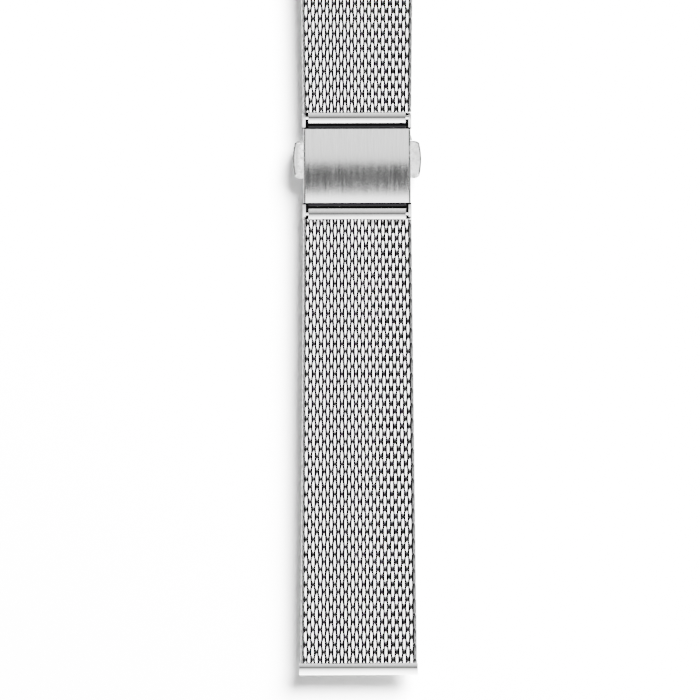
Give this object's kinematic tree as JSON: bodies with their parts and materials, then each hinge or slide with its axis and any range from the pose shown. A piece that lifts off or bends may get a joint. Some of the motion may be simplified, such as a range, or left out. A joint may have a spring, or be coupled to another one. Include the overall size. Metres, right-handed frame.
{
  "type": "milanese mesh watch band",
  "caption": "Woven steel mesh watch band with a sprung push-button butterfly clasp, folding blades, spring bars and bored lug bars.",
  "frame": {"origin": "middle of the bottom of the band laid out flat and closed", "axes": "+X across the band, +Y along it towards the upper, shorter strap, +Z away from the wrist"},
  "size_m": [0.0218, 0.1522, 0.0065],
  "materials": {
    "mesh_wire": "flattened bright round wire",
    "polished_bar": "polished with a fine brushed grain",
    "brushed_cover": "fine brushed along the band",
    "polished_button": "satin polish",
    "satin_blade": "satin, brushed along the blade",
    "dark_box": "as stamped, dull",
    "turned_pin": "turned",
    "spring_wire": "drawn spring wire"
  },
  "bodies": {
    "clasp_base": {"base_plate": "satin_blade", "base_rivets": "turned_pin", "catch_box": "dark_box", "cover_plate": "brushed_cover", "upper_hinge_pin": "turned_pin", "lower_hinge_pin": "turned_pin", "left_button_spring": "spring_wire", "right_button_spring": "spring_wire"},
    "upper_arm": {"upper_arm": "satin_blade", "upper_catch_plate": "dark_box", "upper_bar_barrel": "turned_pin", "upper_bar_spring": "spring_wire"},
    "lower_arm": {"lower_arm": "satin_blade", "lower_catch_plate": "dark_box", "lower_bar_barrel": "turned_pin", "lower_bar_spring": "spring_wire"},
    "left_button": {"left_button": "polished_button"},
    "right_button": {"right_button": "polished_button"},
    "upper_tip_left": {"upper_bar_tip_left": "turned_pin"},
    "upper_tip_right": {"upper_bar_tip_right": "turned_pin"},
    "upper_strap_1": {"upper_clasp_bar": "polished_bar", "upper_mesh_1": "mesh_wire"},
    "upper_strap_2": {"upper_mesh_2": "mesh_wire"},
    "upper_strap_3": {"upper_mesh_3": "mesh_wire"},
    "upper_strap_4": {"upper_mesh_4": "mesh_wire"},
    "upper_strap_5": {"upper_mesh_5": "mesh_wire", "upper_lug_bar": "polished_bar"},
    "lower_tip_left": {"lower_bar_tip_left": "turned_pin"},
    "lower_tip_right": {"lower_bar_tip_right": "turned_pin"},
    "lower_strap_1": {"lower_clasp_bar": "polished_bar", "lower_mesh_1": "mesh_wire"},
    "lower_strap_2": {"lower_mesh_2": "mesh_wire"},
    "lower_strap_3": {"lower_mesh_3": "mesh_wire"},
    "lower_strap_4": {"lower_mesh_4": "mesh_wire"},
    "lower_strap_5": {"lower_mesh_5": "mesh_wire"},
    "lower_strap_6": {"lower_mesh_6": "mesh_wire"},
    "lower_strap_7": {"lower_mesh_7": "mesh_wire", "lower_lug_bar": "polished_bar"}
  },
  "joints": [
    {"name": "upper_arm_hinge", "type": "hinge", "parent": "clasp_base", "child": "upper_arm", "pos_m": [0, 0.0272, 0.001], "axis": [1, 0, 0], "range_deg": [-160, 0]},
    {"name": "lower_arm_hinge", "type": "hinge", "parent": "clasp_base", "child": "lower_arm", "pos_m": [0, -0.0068, 0.001], "axis": [-1, 0, 0], "range_deg": [-160, 0]},
    {"name": "upper_strap_pivot", "type": "hinge", "parent": "upper_arm", "child": "upper_strap_1", "pos_m": [0, 0.01835, 0.0047], "axis": [-1, 0, 0], "range_deg": [-60, 8]},
    {"name": "lower_strap_pivot", "type": "hinge", "parent": "lower_arm", "child": "lower_strap_1", "pos_m": [0, 0.00205, 0.0047], "axis": [1, 0, 0], "range_deg": [-60, 8]},
    {"name": "upper_mesh_bend_1", "type": "hinge", "parent": "upper_strap_1", "child": "upper_strap_2", "pos_m": [0, 0.0301, 0.0047], "axis": [-1, 0, 0], "range_deg": [-10, 20]},
    {"name": "upper_mesh_bend_2", "type": "hinge", "parent": "upper_strap_2", "child": "upper_strap_3", "pos_m": [0, 0.0403, 0.0047], "axis": [-1, 0, 0], "range_deg": [-10, 20]},
    {"name": "upper_mesh_bend_3", "type": "hinge", "parent": "upper_strap_3", "child": "upper_strap_4", "pos_m": [0, 0.05177, 0.0047], "axis": [-1, 0, 0], "range_deg": [-10, 20]},
    {"name": "upper_mesh_bend_4", "type": "hinge", "parent": "upper_strap_4", "child": "upper_strap_5", "pos_m": [0, 0.06196, 0.0047], "axis": [-1, 0, 0], "range_deg": [-10, 20]},
    {"name": "lower_mesh_bend_1", "type": "hinge", "parent": "lower_strap_1", "child": "lower_strap_2", "pos_m": [0, -0.00843, 0.0047], "axis": [1, 0, 0], "range_deg": [-10, 20]},
    {"name": "lower_mesh_bend_2", "type": "hinge", "parent": "lower_strap_2", "child": "lower_strap_3", "pos_m": [0, -0.0199, 0.0047], "axis": [1, 0, 0], "range_deg": [-10, 20]},
    {"name": "lower_mesh_bend_3", "type": "hinge", "parent": "lower_strap_3", "child": "lower_strap_4", "pos_m": [0, -0.0301, 0.0047], "axis": [1, 0, 0], "range_deg": [-10, 20]},
    {"name": "lower_mesh_bend_4", "type": "hinge", "parent": "lower_strap_4", "child": "lower_strap_5", "pos_m": [0, -0.04157, 0.0047], "axis": [1, 0, 0], "range_deg": [-10, 20]},
    {"name": "lower_mesh_bend_5", "type": "hinge", "parent": "lower_strap_5", "child": "lower_strap_6", "pos_m": [0, -0.05176, 0.0047], "axis": [1, 0, 0], "range_deg": [-10, 20]},
    {"name": "lower_mesh_bend_6", "type": "hinge", "parent": "lower_strap_6", "child": "lower_strap_7", "pos_m": [0, -0.06324, 0.0047], "axis": [1, 0, 0], "range_deg": [-10, 20]},
    {"name": "left_button_press", "type": "slide", "parent": "clasp_base", "child": "left_button", "axis": [1, 0, 0], "range_m": [0, 0.0008], "stiffness_N_per_m": 400, "deforming": ["left_button_spring"]},
    {"name": "right_button_press", "type": "slide", "parent": "clasp_base", "child": "right_button", "axis": [-1, 0, 0], "range_m": [0, 0.0008], "stiffness_N_per_m": 400, "deforming": ["right_button_spring"]},
    {"name": "upper_tip_left_press", "type": "slide", "parent": "upper_arm", "child": "upper_tip_left", "axis": [1, 0, 0], "range_m": [0, 0.0008], "stiffness_N_per_m": 150, "deforming": ["upper_bar_spring"]},
    {"name": "upper_tip_right_press", "type": "slide", "parent": "upper_arm", "child": "upper_tip_right", "axis": [-1, 0, 0], "range_m": [0, 0.0008], "stiffness_N_per_m": 150, "deforming": ["upper_bar_spring"]},
    {"name": "lower_tip_left_press", "type": "slide", "parent": "lower_arm", "child": "lower_tip_left", "axis": [1, 0, 0], "range_m": [0, 0.0008], "stiffness_N_per_m": 150, "deforming": ["lower_bar_spring"]},
    {"name": "lower_tip_right_press", "type": "slide", "parent": "lower_arm", "child": "lower_tip_right", "axis": [-1, 0, 0], "range_m": [0, 0.0008], "stiffness_N_per_m": 150, "deforming": ["lower_bar_spring"]}
  ]
}
